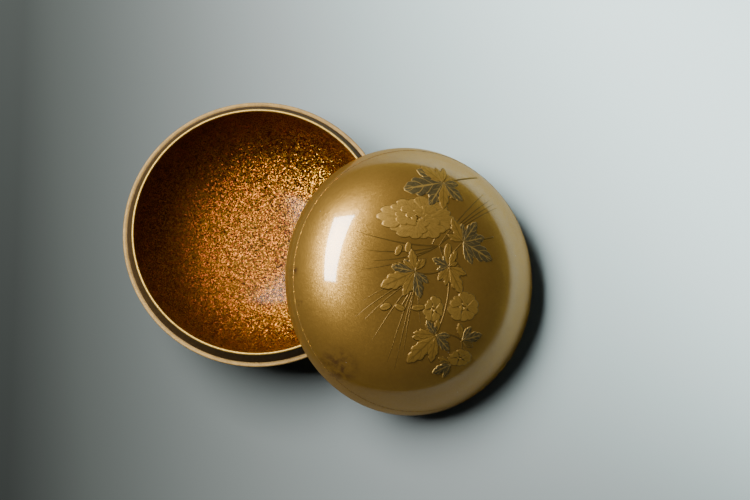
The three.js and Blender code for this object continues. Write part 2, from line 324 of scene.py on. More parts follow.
# %% Collect figures and make one piece of each finish
class Figures:
    """The figures of one finish, gathered into a single mesh."""

    def __init__(self, name):
        self.name = name
        self.points, self.faces, self.insets, self.places = [], [], [], []
        self.count = 0

    def add(self, x, y, inset, lift, roll, along, across):
        """One grid of plan points, with each point's distance from the figure's edge in millimetres."""
        border = np.zeros(x.shape, bool)
        border[0], border[-1], border[:, 0], border[:, -1] = True, True, True, True
        height = np.where(border, -BURIED, rolled(inset, roll) * lift)
        rows, columns = x.shape
        index = self.count + np.arange(rows * columns).reshape(rows, columns)
        self.points.append(on_dome(x, y, height).reshape(-1, 3))
        self.insets.append(np.where(border, 0, inset).reshape(-1))
        self.places.append(np.stack([along, across], axis=-1).reshape(-1, 2))
        quads = np.stack([index[:-1, :-1], index[1:, :-1], index[1:, 1:], index[:-1, 1:]], axis=-1)
        self.faces += quads.reshape(-1, 4).tolist()
        left, right = index[:, 0].tolist(), index[:, -1].tolist()
        for i in range(1, rows - 2):
            self.faces.append((left[i], right[i], right[i + 1], left[i + 1]))
        self.faces.append([left[1], *index[0].tolist(), right[1]])
        self.faces.append([right[-2], *index[-1][::-1].tolist(), left[-2]])
        self.count += rows * columns

    def make(self):
        mesh = bpy.data.meshes.new(self.name)
        mesh.from_pydata(lid_to_world(np.vstack(self.points)).tolist(), [], self.faces)
        inset = mesh.attributes.new("inset", "FLOAT", "POINT")
        inset.data.foreach_set("value", np.concatenate(self.insets).astype(np.float32))
        corners = np.empty(len(mesh.loops), np.int32)
        mesh.loops.foreach_get("vertex_index", corners)
        layer = mesh.uv_layers.new(name="figure")
        layer.data.foreach_set("uv", np.vstack(self.places)[corners].astype(np.float32).reshape(-1))
        mesh.shade_smooth()
        piece = bpy.data.objects.new(self.name, mesh)
        bpy.context.scene.collection.objects.link(piece)
        print(self.name, "holds", len(mesh.polygons), "faces")
        return piece


# %% [markdown]
# ### Strips: leaves, buds, stems and blades
#
# A strip follows a midrib, with a half width that changes along it. Rows are spread along the rib, and
# columns crowd towards both edges, where the roll needs them. A leaf's lobes lean forward, so its
# outer columns run ahead of the rib.

# %% Strips along a midrib
EDGE_ROLL = 0.3
WIDEST_ROLL = 0.9
LEAST_HALF_WIDTH = 0.015


def strip(figures, rib, half_width, lift, rows=41, columns=15, lean=0.0):
    """A figure along a curve rib(t), with half_width(t) on each side."""
    t = np.linspace(0, 1, rows)
    across = np.sin(np.linspace(-1, 1, columns) * math.pi / 2)[None]
    middle = np.array([rib(value) for value in t])
    heading = np.gradient(middle, axis=0)
    heading /= np.linalg.norm(heading, axis=1, keepdims=True)
    length = np.linalg.norm(np.diff(middle, axis=0), axis=1).sum()
    half = np.maximum(half_width(t), LEAST_HALF_WIDTH)[:, None]
    forward = lean * half * across**2
    x = middle[:, :1] + heading[:, 1:] * across * half + heading[:, :1] * forward
    y = middle[:, 1:] - heading[:, :1] * across * half + heading[:, 1:] * forward
    ends = np.minimum(t, 1 - t)[:, None] * length
    inset = np.minimum((1 - np.abs(across)) * half, ends)
    figures.add(x, y, inset, np.full_like(x, lift), min(EDGE_ROLL, half.max() * WIDEST_ROLL),
                np.repeat(t[:, None], columns, axis=1), np.repeat((across + 1) / 2, rows, axis=0))


def straight(start, bearing, length):
    """A straight midrib from a point, towards a bearing in degrees."""
    way = np.array([math.cos(math.radians(bearing)), math.sin(math.radians(bearing))])
    return lambda t: np.array(start) + way * length * t


def bowed(points):
    """A midrib that bends once: start, bend and end."""
    start, bend, end = (np.array(p, float) for p in points)
    return lambda t: (1 - t) ** 2 * start + 2 * t * (1 - t) * bend + t**2 * end


# %% [markdown]
# ### The sprays
#
# The spray is a generic one: a full peony near the top, smaller blossoms low down, lobed leaves of
# one or three leaflets springing from the knots of a stem, and thin grass blades that fan out behind.
# The lists give only where each figure starts, which way it points and how long it is.

# %% Leaves, buds, stems and grass
LEAF_LIFT = 0.16
LEAFLET_STEP = 0.025
LOBE_LEAN = 0.35
BUD_LIFT = 0.2
STEM_LIFT = 0.11
STEM_HALF_WIDTH = 0.28
STEM_THINNING = 0.08
BLADE_LIFT = 0.06
BLADE_HALF_WIDTH = 0.26

LEAFLET = [(0, 0.03), (0.12, 0.06), (0.3, 0.16), (0.4, 0.22), (0.46, 0.19), (0.56, 0.23), (0.64, 0.21),
           (0.7, 0.15), (0.79, 0.15), (0.87, 0.1), (0.95, 0.05), (1, 0.01)]
FAN = [(-38, 0.64), (40, 0.7), (0, 1.0)]

SPRIGS = [
    (3.2, 27.0, [(192, 12.5, 3, "dark"), (140, 7.4, 3, "gold"), (70, 5.0, 1, "gold"), (262, 8, 3, "gold"),
                 (318, 7.4, 3, "dark"), (20, 4.6, 1, "gold")]),
    (8.0, 10.4, [(334, 10.5, 3, "dark"), (52, 7.6, 3, "dark"), (118, 7.4, 3, "gold"), (12, 6.4, 1, "gold")]),
    (-6.6, 1.6, [(172, 7, 3, "dark"), (100, 6.4, 3, "gold"), (284, 7.6, 3, "dark"), (206, 11, 3, "gold"),
                 (48, 5.0, 1, "gold"), (244, 6.0, 1, "gold")]),
    (3.6, 3.4, [(158, 5.4, 3, "dark"), (300, 8.6, 3, "gold"), (62, 5.2, 3, "gold"), (232, 5.2, 1, "gold")]),
    (0.4, -15.6, [(128, 5, 3, "dark"), (178, 6.8, 3, "gold"), (226, 11, 3, "gold"), (318, 6.4, 3, "dark"),
                  (82, 4.6, 1, "gold")]),
    (8.6, -16.8, [(16, 6.8, 3, "dark"), (104, 5, 1, "gold"), (338, 4.4, 1, "gold")]),
    (6.2, -23.4, [(206, 6, 3, "dark"), (160, 4.6, 1, "gold")]),
]
BUDS = [
    (-11.4, 7.2, 62, 3.6, 1.9),
    (-8.6, 8.1, 78, 3.4, 2.0),
    (3.3, 7.7, 82, 4.6, 2.4),
    (-14.7, -8.4, 20, 3.4, 2.2),
    (-10.6, -8.5, 160, 3.2, 2.0),
    (-5.2, -8.3, 10, 4.2, 2.0),
]
STEMS = [
    [(17, 30), (6, 28), (3.2, 27)],
    [(3.2, 27), (3.5, 19), (-1.6, 9)],
    [(8, 10.4), (3, 6), (3.6, 3.4)],
    [(18.4, 12.6), (12, 11), (8, 10.4)],
    [(3.6, 3.4), (-2, 0), (-6.6, 1.6)],
    [(3.6, 3.4), (4.8, -6), (0.4, -15.6)],
    [(0.4, -15.6), (5, -14.6), (8.6, -16.8)],
    [(8.6, -16.8), (9.2, -19), (8.8, -21.6)],
    [(-10.6, -8.5), (-6.5, -3), (-6.6, 1.6)],
]
TUFTS = [
    (0.6, 9.0, 0.10, [(19.4, 23.6), (17.6, 25.4), (21.6, 21.4), (20.4, 22.4), (-24, 12.4), (-21.6, 7),
                      (-22.8, 1.4), (-19, 4), (7.4, -5), (4, -4.6), (9.6, 0.6)]),
    (-5.2, 0.4, -0.09, [(-23, -11.8), (-20.4, -12.4), (-18, -18.6), (-12.6, -23.8), (-10.2, -26.2),
                        (-8.4, -21.8), (-4, -14), (-21, -7)]),
]

gold_leaves = Figures("gold_leaves")
dark_leaves = Figures("dark_leaves")
stems = Figures("stems_and_grass")


def leaf(figures, node, bearing, length, lift):
    """One leaflet with blunt teeth."""
    t, share = np.array(LEAFLET).T
    strip(figures, straight(node, bearing, length), lambda along: np.interp(along, t, share) * length,
          lift, rows=45, columns=17, lean=LOBE_LEAN)


for x, y, leaves in SPRIGS:
    for bearing, length, lobes, finish in leaves:
        figures = dark_leaves if finish == "dark" else gold_leaves
        for order, (turn, share) in enumerate(FAN[-lobes:]):
            leaf(figures, (x, y), bearing + turn, length * share, LEAF_LIFT + LEAFLET_STEP * order)

for x, y, bearing, length, wide in BUDS:
    turn = math.radians(bearing)
    start = (x - math.cos(turn) * length / 2, y - math.sin(turn) * length / 2)
    strip(gold_leaves, straight(start, bearing, length),
          lambda t, wide=wide: wide / 2 * np.sqrt(np.maximum(1 - (2 * t - 1) ** 2, 0)), BUD_LIFT)

for points in STEMS:
    strip(stems, bowed(points), lambda t: STEM_HALF_WIDTH - STEM_THINNING * t, STEM_LIFT, rows=49, columns=9)

for x, y, bow, tips in TUFTS:
    for tip_x, tip_y in tips:
        middle = ((x + tip_x) / 2 - (tip_y - y) * bow, (y + tip_y) / 2 + (tip_x - x) * bow)
        strip(stems, bowed([(x, y), middle, (tip_x, tip_y)]),
              lambda t: BLADE_HALF_WIDTH * (1 - t) ** 0.5 * np.minimum(1, 4 * t + 0.4),
              BLADE_LIFT, rows=57, columns=9)

# %% [markdown]
# ### Petals
#
# A petal is a fan of a round: narrow at the heart, wide outside, with a scalloped edge. Each petal is
# set a little higher on one side, so that neighbours overlap like tiles, and each inner ring stands a
# little higher than the ring outside it. No two petals of a ring reach equally far.

# %% Peony and small blossoms
PETAL_LIFT = 0.13
RING_STEP = 0.05
TILE_TILT = 0.06
PETAL_ROLL = 0.42
PETAL_OVERLAP = 1.3
PETAL_REACH = 0.94
PETAL_VARIETY = 0.08
GOLDEN_ANGLE = 2.4
SCALLOP_DEPTH = 0.14
SHOULDER_FALL = 0.28
HEART_WIDTH = 0.45
HEART_INSET = 0.02

petals = Figures("petals")
PEONY = dict(x=-5.4, y=16.4, half_width=12.0, half_height=6.9, rings=[
    dict(petals=6, inner=0.25, outer=1.0, scallops=3),
    dict(petals=5, inner=0.14, outer=0.68, scallops=2),
    dict(petals=5, inner=0.05, outer=0.42, scallops=1),
    dict(petals=3, inner=0.0, outer=0.22, scallops=1),
])
SMALL_RINGS = [
    dict(petals=5, inner=0.08, outer=1.0, scallops=2),
    dict(petals=3, inner=0.0, outer=0.3, scallops=1),
]
SMALL_BLOSSOMS = [
    dict(x=-0.6, y=-8.6, half_width=3.4, half_height=4.0, rings=SMALL_RINGS),
    dict(x=8.6, y=-7.6, half_width=5.4, half_height=4.6, rings=SMALL_RINGS),
    dict(x=8.8, y=-21.6, half_width=4.4, half_height=2.6, rings=SMALL_RINGS),
]


def petal(blossom, bearing, spread, ring, vary, lift, rows=33, columns=37):
    """One scalloped petal of a blossom, a little higher on one side."""
    s = np.sin(np.linspace(-1, 1, columns) * math.pi / 2)[None]
    t = (1 - np.cos(np.linspace(0, 1, rows) * math.pi))[:, None] / 2
    bulge = np.abs(np.sin(math.pi * ring["scallops"] * (s + 1) / 2)) ** 0.5
    scalloped = 1 - SCALLOP_DEPTH + SCALLOP_DEPTH * bulge
    rounded = 1 - SHOULDER_FALL + SHOULDER_FALL * np.sqrt(1 - s**2)
    outer = ring["outer"] * vary * scalloped * rounded
    reach = ring["inner"] + (outer - ring["inner"]) * t
    opening = HEART_WIDTH + (1 - HEART_WIDTH) * np.sin(t * math.pi / 2)
    angle = bearing + spread / 2 * s * opening
    x = blossom["x"] + np.cos(angle) * reach * blossom["half_width"]
    y = blossom["y"] + np.sin(angle) * reach * blossom["half_height"]
    size = math.sqrt(blossom["half_width"] * blossom["half_height"])
    side = (1 - np.abs(s)) * spread / 2 * reach * size
    length = (outer - ring["inner"]) * size
    inset = np.minimum(side, np.minimum((1 - t) * length, t * length + HEART_INSET))
    tilted = lift + TILE_TILT * s * np.ones_like(t)
    along, across = np.repeat(t, columns, axis=1), np.repeat((s + 1) / 2, rows, axis=0)
    # A fan runs the other way round from a strip, so its columns are turned to make it face out.
    x, y, inset, tilted, along, across = (grid[:, ::-1] for grid in (x, y, inset, tilted, along, across))
    petals.add(x, y, inset, tilted, PETAL_ROLL, along, across)


for blossom in [PEONY, *SMALL_BLOSSOMS]:
    for level, ring in enumerate(blossom["rings"]):
        spread = PETAL_OVERLAP * 2 * math.pi / ring["petals"]
        for i in range(ring["petals"]):
            bearing = 2 * math.pi * (i + level / 2) / ring["petals"]
            vary = PETAL_REACH + PETAL_VARIETY * math.sin(GOLDEN_ANGLE * i + level)
            petal(blossom, bearing, spread, ring, vary, PETAL_LIFT + RING_STEP * level)

relief = [figures.make() for figures in (petals, gold_leaves, dark_leaves, stems)]

# %% [markdown]
# ## Small tools for finishes
#
# A finish is a tree of nodes. One helper adds a node and wires or sets its inputs in a line, so that
# each finish reads as a recipe. The effects that several finishes share are node groups, built once.

# %% Node helpers
def add(tree, kind, inputs=None, **settings):
    """A new node with its settings, and its inputs set to values or linked to sockets."""
    node = tree.nodes.new(kind)
    for key, value in settings.items():
        setattr(node, key, value)
    for key, value in (inputs or {}).items():
        if isinstance(value, bpy.types.NodeSocket):
            tree.links.new(value, node.inputs[key])
        else:
            node.inputs[key].default_value = value
    return node


def calc(tree, operation, *values, clamp=False):
    """The result of one Math node."""
    node = add(tree, "ShaderNodeMath", dict(enumerate(values)), operation=operation, use_clamp=clamp)
    return node.outputs[0]


def blend_colours(tree, factor, first, second):
    """The result of mixing two colours."""
    node = add(tree, "ShaderNodeMix", data_type="RGBA", clamp_factor=True)
    for socket, value in ((node.inputs[0], factor), (node.inputs[6], first), (node.inputs[7], second)):
        if isinstance(value, bpy.types.NodeSocket):
            tree.links.new(value, socket)
        elif isinstance(value, tuple):
            socket.default_value = (*value, 1.0)
        else:
            socket.default_value = value
    return node.outputs[2]


def smooth_step(tree, value, low, high, to_low=0.0, to_high=1.0):
    """A value carried smoothly from one range to another."""
    return add(tree, "ShaderNodeMapRange",
               {"Value": value, "From Min": low, "From Max": high, "To Min": to_low, "To Max": to_high},
               interpolation_type="SMOOTHSTEP").outputs[0]


def colour_stops(tree, factor, stops):
    """A colour read from stops [(position, colour), ...] by a factor."""
    node = add(tree, "ShaderNodeValToRGB", {0: factor})
    ramp = node.color_ramp
    while len(ramp.elements) < len(stops):
        ramp.elements.new(0.5)
    for element, (position, colour) in zip(ramp.elements, stops):
        element.position = position
        element.color = (*colour, 1.0)
    return node.outputs["Color"]


def new_group(name, inputs, outputs):
    """An empty node group with named float, vector or colour sockets."""
    group = bpy.data.node_groups.new(name, "ShaderNodeTree")
    for way, sockets in (("INPUT", inputs), ("OUTPUT", outputs)):
        for label, kind, value in sockets:
            socket = group.interface.new_socket(name=label, in_out=way, socket_type="NodeSocket" + kind)
            if value is not None:
                socket.default_value = value
    return group, group.nodes.new("NodeGroupInput"), group.nodes.new("NodeGroupOutput")


def use(tree, group, **inputs):
    """A group placed in a tree, with its inputs given by name."""
    node = tree.nodes.new("ShaderNodeGroup")
    node.node_tree = group
    for key, value in inputs.items():
        socket = node.inputs[key.replace("_", " ")]
        if isinstance(value, bpy.types.NodeSocket):
            tree.links.new(value, socket)
        else:
            socket.default_value = value
    return node


# %% [markdown]
# ### Shared effects
#
# *Cloudy tone* is the slow drift of colour in hand-laid lacquer. *Metal powder* is the glitter of
# metal grains: every cell of a Voronoi texture tilts the surface its own way. Small cells make powder
# and large ones make flakes. *Dust* is a few pale specks. *Drawn line and foot shade* marks a band
# along the edge of each raised figure. On raised gold the band is dark, partly a drawn line and
# partly painted shade where the figure meets the ground; on dark leaves it is a gold edge.

# %% Build the shared groups
cloudy_tone, given, result = new_group(
    "Cloudy tone", [("Vector", "Vector", None), ("Size", "Float", 5.0), ("Contrast", "Float", 2.0)],
    [("Tone", "Float", None)])
noise = add(cloudy_tone, "ShaderNodeTexNoise", {
    "Vector": given.outputs["Vector"], "Scale": calc(cloudy_tone, "DIVIDE", 1.0, given.outputs["Size"]),
    "Detail": 4.0, "Roughness": 0.6})
centred = calc(cloudy_tone, "SUBTRACT", noise.outputs[0], 0.5)
spread = calc(cloudy_tone, "MULTIPLY", centred, given.outputs["Contrast"])
cloudy_tone.links.new(calc(cloudy_tone, "ADD", spread, 0.5, clamp=True), result.inputs["Tone"])

metal_powder, given, result = new_group(
    "Metal powder", [("Vector", "Vector", None), ("Grain", "Float", 0.1), ("Tilt", "Float", 0.2)],
    [("Normal", "Vector", None), ("Tone", "Float", None)])
cells = add(metal_powder, "ShaderNodeTexVoronoi", {
    "Vector": given.outputs["Vector"], "Scale": calc(metal_powder, "DIVIDE", 1.0, given.outputs["Grain"])})
off_centre = add(metal_powder, "ShaderNodeVectorMath", {0: cells.outputs["Color"], 1: (0.5, 0.5, 0.5)},
                 operation="SUBTRACT").outputs[0]
tilt = add(metal_powder, "ShaderNodeVectorMath", {0: off_centre, "Scale": given.outputs["Tilt"]},
           operation="SCALE").outputs[0]
surface = add(metal_powder, "ShaderNodeNewGeometry").outputs["Normal"]
leaning = add(metal_powder, "ShaderNodeVectorMath", {0: surface, 1: tilt}, operation="ADD").outputs[0]
unit = add(metal_powder, "ShaderNodeVectorMath", {0: leaning}, operation="NORMALIZE").outputs[0]
metal_powder.links.new(unit, result.inputs["Normal"])
metal_powder.links.new(add(metal_powder, "ShaderNodeSeparateColor", {0: cells.outputs["Color"]}).outputs[0],
                       result.inputs["Tone"])

dust, given, result = new_group(
    "Dust", [("Vector", "Vector", None), ("Spacing", "Float", 4.0), ("Size", "Float", 0.1),
             ("Share", "Float", 0.4)], [("Mask", "Float", None)])
specks = add(dust, "ShaderNodeTexVoronoi", {
    "Vector": given.outputs["Vector"], "Scale": calc(dust, "DIVIDE", 1.0, given.outputs["Spacing"])})
reach = calc(dust, "MULTIPLY", specks.outputs["Distance"], given.outputs["Spacing"])
near = calc(dust, "LESS_THAN", reach, given.outputs["Size"])
lot = add(dust, "ShaderNodeSeparateColor", {0: specks.outputs["Color"]}).outputs[1]
chosen = calc(dust, "LESS_THAN", lot, given.outputs["Share"])
dust.links.new(calc(dust, "MULTIPLY", near, chosen), result.inputs["Mask"])

line_and_foot_shade, given, result = new_group(
    "Drawn line and foot shade", [("From", "Float", 0.1), ("To", "Float", 0.3)], [("Mask", "Float", None)])
inset = add(line_and_foot_shade, "ShaderNodeAttribute", attribute_name="inset").outputs["Fac"]
fading = add(line_and_foot_shade, "ShaderNodeMapRange", {
    "Value": inset, "From Min": given.outputs["From"], "From Max": given.outputs["To"],
    "To Min": 1.0, "To Max": 0.0}, interpolation_type="SMOOTHSTEP").outputs[0]
line_and_foot_shade.links.new(fading, result.inputs["Mask"])
print("shared effects:", [group.name for group in bpy.data.node_groups])


# %% Start a finish
def new_finish(name):
    """A material with its tree, its Principled shader and its position in millimetres."""
    material = bpy.data.materials.new(name)
    material.use_nodes = True
    tree = material.node_tree
    shader = tree.nodes["Principled BSDF"]
    place = add(tree, "ShaderNodeTexCoord").outputs["Object"]
    millimetres = add(tree, "ShaderNodeVectorMath", {0: place, "Scale": 1 / MM}, operation="SCALE").outputs[0]
    return material, tree, shader, millimetres


def plan_of_lid(tree):
    """Position in the lid's own plan, in millimetres, however the lid leans."""
    place = add(tree, "ShaderNodeTexCoord").outputs["Object"]
    mapping = add(tree, "ShaderNodeMapping", {
        "Vector": place, "Location": tuple(lid_centre * MM),
        "Rotation": tuple(lid_turn.to_euler("XYZ")), "Scale": (MM, MM, MM)}, vector_type="TEXTURE")
    return mapping.outputs[0]


def average(tree, first, second):
    """The mean of two values."""
    return calc(tree, "MULTIPLY", calc(tree, "ADD", first, second), 0.5)


def dress(tree, shader, colour, normal, metallic, roughness):
    """Give a shader its colour, its grain and its plain values."""
    tree.links.new(colour, shader.inputs["Base Color"])
    tree.links.new(normal, shader.inputs["Normal"])
    shader.inputs["Metallic"].default_value = metallic
    shader.inputs["Roughness"].default_value = roughness


def clear_coat(shader, weight, roughness, ior=1.45):
    """Polished clear lacquer over the finish."""
    shader.inputs["Coat Weight"].default_value = weight
    shader.inputs["Coat Roughness"].default_value = roughness
    shader.inputs["Coat IOR"].default_value = ior


# %% [markdown]
# ## Gold ground
#
# The outside is fine gold powder, packed so close that it reads as metal, under polished clear
# lacquer. A mirror-like metal would look like foil. Here the metal is fairly rough, which gives the
# broad yellow glow round a light, and a smooth clear coat on top gives the crisp white reflection.
# The coat's refractive index is far above real lacquer's. With a low weight, that keeps the white
# reflection strong and the floor's reflection along the lid's far edge faint.

# %% Where the gold is worn
GOLD = (0.3, 0.166, 0.032)
GOLD_DEEP = (0.226, 0.121, 0.021)
GOLD_EDGE = (1.0, 0.68, 0.28)
WORN_RED = (0.085, 0.035, 0.014)
PALE_DUST = (0.55, 0.52, 0.45)
POWDER_GRAIN = 0.12
POWDER_TILT = 0.16

# Each place is its x and y in the lid's plan, its radius in millimetres and its strength.
WEAR_PLACES = [
    (-24.3, -25.0, 8.0, 0.7),
    (-36.9, 1.0, 2.4, 1.0),
    (-35.5, -7.4, 1.8, 0.9),
]
WEAR_CORE = 0.2


def worn_patches(tree):
    """Where the gold is rubbed through to the red-brown below, broken up by noise."""
    plan = plan_of_lid(tree)
    broken = use(tree, cloudy_tone, Vector=plan, Size=1.9, Contrast=1.8).outputs["Tone"]
    total = 0.0
    for x, y, radius, strength in WEAR_PLACES:
        centre = (x, y, float(dome_height(math.hypot(x, y))))
        away = add(tree, "ShaderNodeVectorMath", {0: plan, 1: centre}, operation="DISTANCE").outputs["Value"]
        patch = smooth_step(tree, away, WEAR_CORE * radius, radius, strength, 0.0)
        total = calc(tree, "MAXIMUM", total, patch)
    return calc(tree, "MULTIPLY", total, smooth_step(tree, broken, 0.25, 0.8))


# %% Gold ground
def gold_ground(name, worn=False):
    """Gold powder under clear lacquer, with the worn places where the piece has them."""
    material, tree, shader, millimetres = new_finish(name)
    drift = use(tree, cloudy_tone, Vector=millimetres, Size=9.0, Contrast=1.6).outputs["Tone"]
    mottle = use(tree, cloudy_tone, Vector=millimetres, Size=0.9, Contrast=1.4).outputs["Tone"]
    powder = use(tree, metal_powder, Vector=millimetres, Grain=POWDER_GRAIN, Tilt=POWDER_TILT)
    colour = blend_colours(tree, average(tree, drift, mottle), GOLD_DEEP, GOLD)
    if worn:
        colour = blend_colours(tree, worn_patches(tree), colour, WORN_RED)
    specks = use(tree, dust, Vector=millimetres, Spacing=3.2, Size=0.09, Share=0.3).outputs["Mask"]
    colour = blend_colours(tree, specks, colour, PALE_DUST)
    dress(tree, shader, colour, powder.outputs["Normal"], metallic=0.8, roughness=0.37)
    shader.inputs["Specular Tint"].default_value = (*GOLD_EDGE, 1.0)
    clear_coat(shader, 0.21, 0.06, ior=3.0)
    return material


gold_outside = gold_ground("gold_ground_bowl")
gold_lid = gold_ground("gold_ground_lid", worn=True)
print("worn places on the lid:", len(WEAR_PLACES))

# %% [markdown]
# ## Sprinkled flake
#
# Inside, flakes of gold about a quarter of a millimetre wide lie at all angles in red-brown lacquer.
# Deep ones look brown through the lacquer, and those near the top are pale gold. Each Voronoi cell is
# a flake. Its three random values tilt it, and the first of them also says how deep it lies.

# %% Sprinkled flake
FLAKE_GRAIN = 0.26
FLAKE_TILT = 0.9
FLAKE_STOPS = [(0.0, (0.018, 0.004, 0.001)), (0.24, (0.07, 0.015, 0.003)), (0.48, (0.2, 0.065, 0.007)),
               (0.75, (0.4, 0.172, 0.017)), (1.0, (0.56, 0.35, 0.04))]


def sprinkled_flake():
    """Gold flakes at many depths and angles under clear lacquer."""
    material, tree, shader, millimetres = new_finish("sprinkled_flake")
    flakes = use(tree, metal_powder, Vector=millimetres, Grain=FLAKE_GRAIN, Tilt=FLAKE_TILT)
    colour = colour_stops(tree, flakes.outputs["Tone"], FLAKE_STOPS)
    dress(tree, shader, colour, flakes.outputs["Normal"], metallic=1.0, roughness=0.37)
    clear_coat(shader, 0.1, 0.15)
    return material


flake = sprinkled_flake()

# %% [markdown]
# ## Seat, flange and lip
#
# The seat and flange were lacquered in plain gold and have been rubbed by the lid ever since. The
# flat seat is a dull tan with cloudy wear, the leaning flange has darkened to a speckled brown, and
# the lip, touched least by the lid and most by fingers, is bright.

# %% Seat, flange and lip
def rubbed_finish(name, low, high, cloud, metallic, roughness, coat):
    """Plain gold lacquer, rubbed unevenly in clouds of a size in millimetres, with fine grit."""
    material, tree, shader, millimetres = new_finish(name)
    drift = use(tree, cloudy_tone, Vector=millimetres, Size=cloud, Contrast=2.6).outputs["Tone"]
    grit = use(tree, cloudy_tone, Vector=millimetres, Size=0.25, Contrast=2.4).outputs["Tone"]
    powder = use(tree, metal_powder, Vector=millimetres, Grain=0.15, Tilt=0.2)
    colour = blend_colours(tree, average(tree, drift, grit), low, high)
    dress(tree, shader, colour, powder.outputs["Normal"], metallic, roughness)
    shader.inputs["Specular IOR Level"].default_value = 0.2
    clear_coat(shader, coat, 0.2)
    return material


seat = rubbed_finish("worn_seat", (0.1, 0.058, 0.015), (0.27, 0.165, 0.046),
                     cloud=2.5, metallic=0.35, roughness=0.6, coat=0.03)
flange = rubbed_finish("brown_flange", (0.012, 0.007, 0.003), (0.055, 0.031, 0.009),
                       cloud=0.8, metallic=0.4, roughness=0.6, coat=0.03)
lip = rubbed_finish("bright_lip", (0.27, 0.162, 0.03), (0.45, 0.285, 0.058),
                    cloud=1.2, metallic=0.7, roughness=0.5, coat=0.05)

# %% [markdown]
# ## Raised gold and dark leaves
#
# Petals and gold leaves carry the same powder as the ground, in tones close to it, with fine engraved
# lines. The dark leaves are dusted with a grey-green alloy, and their veins are drawn on them in gold.
# Place along and across each figure comes from its own coordinates, so veins follow every leaf.

# %% Veins and streaks
VEIN_PAIRS = 4.0
VEIN_SLANT = 0.9
STREAK_STRETCH = (1.2, 30.0, 1.0)


def place_on_figure(tree):
    """Place along a figure and across it, each from 0 to 1."""
    return add(tree, "ShaderNodeUVMap", uv_map="figure").outputs[0]


def vein_mask(tree):
    """A midrib and slanting side veins."""
    parts = add(tree, "ShaderNodeSeparateXYZ", {0: place_on_figure(tree)})
    across = calc(tree, "ABSOLUTE", calc(tree, "MULTIPLY_ADD", parts.outputs[1], 2.0, -1.0))
    midrib = smooth_step(tree, across, 0.05, 0.14, 1.0, 0.0)
    slanted = calc(tree, "SUBTRACT", calc(tree, "MULTIPLY", parts.outputs[0], VEIN_PAIRS),
                   calc(tree, "MULTIPLY", across, VEIN_SLANT))
    side = smooth_step(tree, calc(tree, "PINGPONG", slanted, 0.5), 0.02, 0.075, 1.0, 0.0)
    side = calc(tree, "MULTIPLY", side, smooth_step(tree, across, 0.98, 0.8))
    return calc(tree, "MAXIMUM", midrib, side)


def streak_mask(tree):
    """Fine lines along a figure, from a petal's heart to its edge."""
    stretched = add(tree, "ShaderNodeMapping", {"Vector": place_on_figure(tree), "Scale": STREAK_STRETCH})
    noise = add(tree, "ShaderNodeTexNoise", {"Vector": stretched.outputs[0], "Scale": 1.0, "Detail": 2.0})
    return smooth_step(tree, noise.outputs[0], 0.5, 0.62)


# %% Raised gold and dark leaves
# The dark brown for each raised figure's edge is partly a drawn line and partly painted shade at its foot.
LINE_AND_SHADE_BROWN = (0.06, 0.035, 0.008)
LINE_AND_SHADE_STRENGTH = 0.85
LEAF_DARK = (0.036, 0.027, 0.011)
LEAF_GREY = (0.075, 0.057, 0.022)
VEIN_GOLD = (0.2, 0.125, 0.03)


def raised_gold(name, low, high, marks, strength):
    """Raised gold with petal streaks or leaf veins of a given strength, and a dark edge that is
    partly a drawn line and partly painted shade at the figure's foot.
    """
    material, tree, shader, millimetres = new_finish(name)
    mottle = use(tree, cloudy_tone, Vector=millimetres, Size=1.0, Contrast=1.4).outputs["Tone"]
    powder = use(tree, metal_powder, Vector=millimetres, Grain=POWDER_GRAIN, Tilt=POWDER_TILT)
    lines = calc(tree, "MULTIPLY", marks(tree), strength)
    edge = use(tree, line_and_foot_shade, From=0.14, To=0.34).outputs["Mask"]
    # The band at each figure's edge is painted shade where it meets the ground, as well as a drawn line.
    drawn_and_shaded = calc(tree, "MAXIMUM", lines, calc(tree, "MULTIPLY", edge, LINE_AND_SHADE_STRENGTH))
    colour = blend_colours(tree, drawn_and_shaded, blend_colours(tree, mottle, low, high), LINE_AND_SHADE_BROWN)
    dress(tree, shader, colour, powder.outputs["Normal"], metallic=0.8, roughness=0.48)
    shader.inputs["Specular Tint"].default_value = (*GOLD_EDGE, 1.0)
    clear_coat(shader, 0.12, 0.3)
    return material


def dark_leaf():
    """Grey-green powder with gold veins and a gold edge."""
    material, tree, shader, millimetres = new_finish("dark_leaf")
    mottle = use(tree, cloudy_tone, Vector=millimetres, Size=0.6, Contrast=2.0).outputs["Tone"]
    powder = use(tree, metal_powder, Vector=millimetres, Grain=POWDER_GRAIN, Tilt=0.2)
    edge = use(tree, line_and_foot_shade, From=0.1, To=0.2).outputs["Mask"]
    gold = calc(tree, "MAXIMUM", vein_mask(tree), edge)
    colour = blend_colours(tree, gold, blend_colours(tree, mottle, LEAF_DARK, LEAF_GREY), VEIN_GOLD)
    dress(tree, shader, colour, powder.outputs["Normal"], metallic=0.6, roughness=0.55)
    shader.inputs["Specular IOR Level"].default_value = 0.2
    shader.inputs["Specular Tint"].default_value = (*GOLD_EDGE, 1.0)
    clear_coat(shader, 0.1, 0.3)
    return material


petal_gold = raised_gold("petal_gold", (0.255, 0.147, 0.029), (0.325, 0.19, 0.04), streak_mask, 0.35)
leaf_gold = raised_gold("leaf_gold", (0.23, 0.13, 0.025), (0.295, 0.168, 0.033), vein_mask, 0.5)
stem_gold = raised_gold("stem_gold", (0.26, 0.148, 0.029), (0.325, 0.187, 0.038), streak_mask, 0.35)
grey_green = dark_leaf()

# %% [markdown]
# ## Put the finishes on and tie the pieces to the model
#
# Each turned piece takes its materials in the order of its finishes. Then every piece is tied to the
# model's only body, and the two fine pieces take the place of the plain solids.

